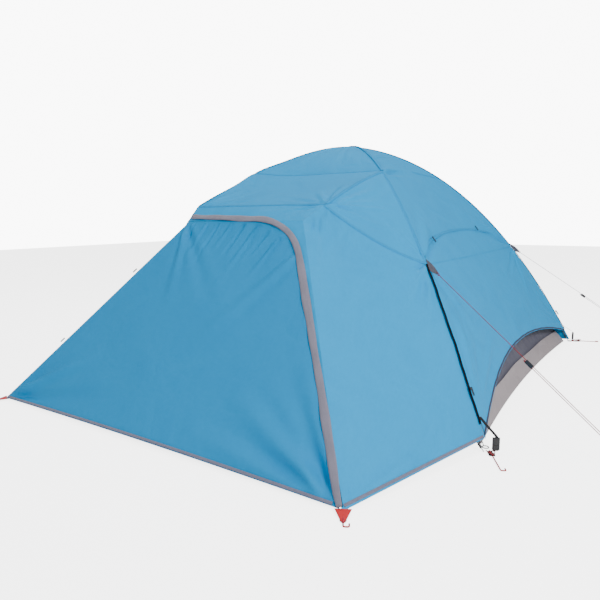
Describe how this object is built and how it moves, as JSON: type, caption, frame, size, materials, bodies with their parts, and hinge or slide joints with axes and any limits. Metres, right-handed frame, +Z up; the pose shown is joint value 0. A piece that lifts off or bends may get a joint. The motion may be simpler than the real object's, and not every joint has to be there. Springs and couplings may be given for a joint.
{
  "type": "dome tent",
  "caption": "Dome tent with crossing poles, a sloping front porch with a curved zip door, side flaps over vent arches, a hanging inner tent and pegged guy lines.",
  "frame": {"origin": "centre of the groundsheet's underside, on the ground", "axes": "+Z up, -Y towards the porch and its door, +X to the right of someone facing the tent's rear from the porch"},
  "size_m": [3.6574, 3.4058, 1.32],
  "materials": {
    "fly_fabric": "matt woven polyester, blue",
    "hem_tape": "woven binding, grey mauve",
    "storm_band": "woven facing, mauve grey",
    "zip_tape": "woven zip tape, black",
    "slider": "moulded, black",
    "inner_fabric": "breathable nylon, dark grey",
    "inner_mesh": "fine netting, dark",
    "groundsheet": "laminated sheet, warm light grey",
    "pole_fibreglass": "pultruded fibreglass, dark",
    "pole_metal": "drawn steel",
    "black_plastic": "moulded, black",
    "webbing": "woven polypropylene, black",
    "fin_fabric": "woven patch, grey",
    "guy_cord": "braided cord, red with black flecks",
    "guy_cord_pale": "braided cord, light grey",
    "peg_wire": "painted steel wire, red",
    "elastic": "braided elastic, white"
  },
  "bodies": {
    "tent": {"bathtub_floor": "groundsheet", "brow_and_hood": "fly_fabric", "buckle_sockets": "black_plastic", "corner_pegs": "peg_wire", "corner_rings_and_pins": "pole_metal", "corner_webbing": "webbing", "crossing_tie": "webbing", "door_surround": "fly_fabric", "door_zip": "zip_tape", "flap_zips": "zip_tape", "fly_hems": "hem_tape", "fly_rear_panel": "fly_fabric", "fly_roof_front": "fly_fabric", "fly_roof_left": "fly_fabric", "fly_roof_rear": "fly_fabric", "fly_roof_right": "fly_fabric", "front_hoop_elbows": "pole_metal", "front_hoop_sections": "pole_fibreglass", "guy_fins": "fin_fabric", "guy_line_front_left": "guy_cord", "guy_line_front_right": "guy_cord", "guy_line_rear_left": "guy_cord_pale", "guy_line_rear_right": "guy_cord_pale", "guy_pegs": "peg_wire", "inner_door_zip": "zip_tape", "inner_mesh_roof": "inner_mesh", "inner_wall_front": "inner_fabric", "inner_walls": "inner_fabric", "lantern_loop": "webbing", "main_pole_a_sections": "pole_fibreglass", "main_pole_b_sections": "pole_fibreglass", "pole_clips": "black_plastic", "pole_ferrules": "pole_metal", "pole_tips": "black_plastic", "porch_side_left": "fly_fabric", "porch_side_right": "fly_fabric", "shock_cords": "elastic", "shoulder_gussets": "fly_fabric", "storage_pocket": "inner_fabric", "storm_flap": "storm_band", "toggles": "black_plastic"},
    "front_door": {"front_door": "fly_fabric", "door_hem": "hem_tape"},
    "door_zip_slider": {"door_zip_slider": "slider"},
    "inner_door": {"inner_door": "inner_fabric"},
    "inner_zip_slider": {"inner_zip_slider": "slider"},
    "side_flap_right": {"side_flap_right": "fly_fabric"},
    "side_flap_left": {"side_flap_left": "fly_fabric"},
    "flap_zip_slider_front_right": {"flap_zip_slider_front_right": "slider"},
    "flap_zip_slider_front_left": {"flap_zip_slider_front_left": "slider"},
    "flap_zip_slider_rear_right": {"flap_zip_slider_rear_right": "slider"},
    "flap_zip_slider_rear_left": {"flap_zip_slider_rear_left": "slider"},
    "line_runner_front_right": {"line_runner_front_right": "black_plastic"},
    "line_runner_front_left": {"line_runner_front_left": "black_plastic"},
    "line_runner_rear_right": {"line_runner_rear_right": "black_plastic"},
    "line_runner_rear_left": {"line_runner_rear_left": "black_plastic"},
    "buckle_plug_front_right": {"buckle_plug_front_right": "black_plastic"},
    "buckle_plug_front_left": {"buckle_plug_front_left": "black_plastic"},
    "buckle_plug_rear_right": {"buckle_plug_rear_right": "black_plastic"},
    "buckle_plug_rear_left": {"buckle_plug_rear_left": "black_plastic"}
  },
  "joints": [
    {"name": "front_door_swing", "type": "hinge", "parent": "tent", "child": "front_door", "pos_m": [-0.962, -1.78, 0], "axis": [-0.4765, -0.5591, -0.6785], "range_deg": [0, 60]},
    {"name": "door_zip_travel", "type": "slide", "parent": "tent", "child": "door_zip_slider", "axis": [-0.5037, 0.5494, 0.6667], "range_m": [0, 0.8]},
    {"name": "inner_door_drop", "type": "hinge", "parent": "tent", "child": "inner_door", "pos_m": [0, -0.93493, 0.18354], "axis": [-1, 0, 0], "range_deg": [0, 55]},
    {"name": "inner_zip_travel", "type": "slide", "parent": "tent", "child": "inner_zip_slider", "axis": [0, 0.5109, 0.8597], "range_m": [0, 0.45]},
    {"name": "side_flap_right_lift", "type": "hinge", "parent": "tent", "child": "side_flap_right", "pos_m": [0.81753, 0, 0.6775], "axis": [0, -1, 0], "range_deg": [0, 6]},
    {"name": "side_flap_left_lift", "type": "hinge", "parent": "tent", "child": "side_flap_left", "pos_m": [-0.81753, 0, 0.6775], "axis": [0, 1, 0], "range_deg": [0, 6]},
    {"name": "flap_zip_travel_front_right", "type": "slide", "parent": "tent", "child": "flap_zip_slider_front_right", "axis": [-0.4633, 0.3847, 0.7984], "range_m": [0, 0.28]},
    {"name": "flap_zip_travel_front_left", "type": "slide", "parent": "tent", "child": "flap_zip_slider_front_left", "axis": [0.4633, 0.3847, 0.7984], "range_m": [0, 0.28]},
    {"name": "flap_zip_travel_rear_right", "type": "slide", "parent": "tent", "child": "flap_zip_slider_rear_right", "axis": [-0.4782, -0.3036, 0.8241], "range_m": [0, 0.28]},
    {"name": "flap_zip_travel_rear_left", "type": "slide", "parent": "tent", "child": "flap_zip_slider_rear_left", "axis": [0.4782, -0.3036, 0.8241], "range_m": [0, 0.28]},
    {"name": "line_runner_travel_front_right", "type": "slide", "parent": "tent", "child": "line_runner_front_right", "axis": [0.7789, -0.2661, -0.5678], "range_m": [0, 0.3]},
    {"name": "line_runner_travel_front_left", "type": "slide", "parent": "tent", "child": "line_runner_front_left", "axis": [-0.7618, 0.0276, -0.6472], "range_m": [0, 0.3]},
    {"name": "line_runner_travel_rear_right", "type": "slide", "parent": "tent", "child": "line_runner_rear_right", "axis": [0.6699, 0.5075, -0.5419], "range_m": [0, 0.3]},
    {"name": "line_runner_travel_rear_left", "type": "slide", "parent": "tent", "child": "line_runner_rear_left", "axis": [-0.6863, 0.4699, -0.5551], "range_m": [0, 0.3]},
    {"name": "buckle_release_front_right", "type": "slide", "parent": "tent", "child": "buckle_plug_front_right", "axis": [0, 0, 1], "range_m": [0, 0.0145]},
    {"name": "buckle_release_front_left", "type": "slide", "parent": "tent", "child": "buckle_plug_front_left", "axis": [0, 0, 1], "range_m": [0, 0.0145]},
    {"name": "buckle_release_rear_right", "type": "slide", "parent": "tent", "child": "buckle_plug_rear_right", "axis": [0, 0, 1], "range_m": [0, 0.0145]},
    {"name": "buckle_release_rear_left", "type": "slide", "parent": "tent", "child": "buckle_plug_rear_left", "axis": [0, 0, 1], "range_m": [0, 0.0145]}
  ]
}
